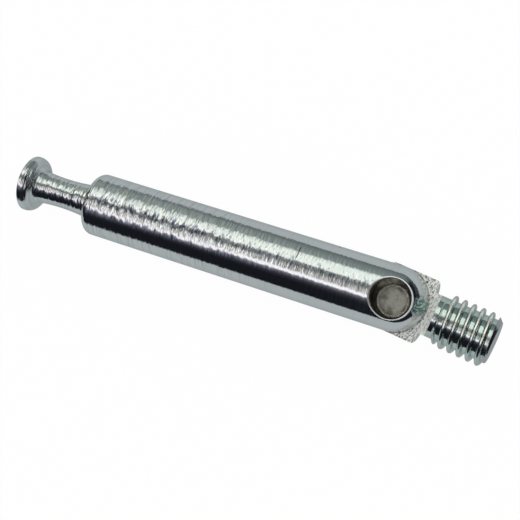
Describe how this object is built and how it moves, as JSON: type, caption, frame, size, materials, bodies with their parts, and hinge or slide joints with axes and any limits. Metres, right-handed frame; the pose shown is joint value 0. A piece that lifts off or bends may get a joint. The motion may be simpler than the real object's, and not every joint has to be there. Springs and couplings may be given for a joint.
{
  "type": "hinge dowel",
  "caption": "Turned steel dowel with a necked button head at one end and a threaded stud riveted on as a half-lap hinge at the other.",
  "frame": {"origin": "centre of the button head's flat end face", "axes": "+X runs along the dowel from the head to the hinge, +Z is the rivet's axis and points away from the surface that the dowel lies on, +Y completes the right hand"},
  "size_m": [0.0551, 0.0076, 0.007],
  "materials": {
    "zinc_body": "bright zinc plating over fine turning marks",
    "zinc_stud": "bright zinc plating, with a dull milled flat",
    "rivet_steel": "dull set rivet face"
  },
  "bodies": {
    "dowel": {"dowel_body": "zinc_body", "hinge_rivet": "rivet_steel"},
    "stud": {"threaded_stud": "zinc_stud"}
  },
  "joints": [
    {"name": "stud_swing", "type": "hinge", "parent": "dowel", "child": "stud", "pos_m": [0.0439, 0, 0], "axis": [0, 0, 1], "range_deg": [-83.5, 96.5]}
  ]
}
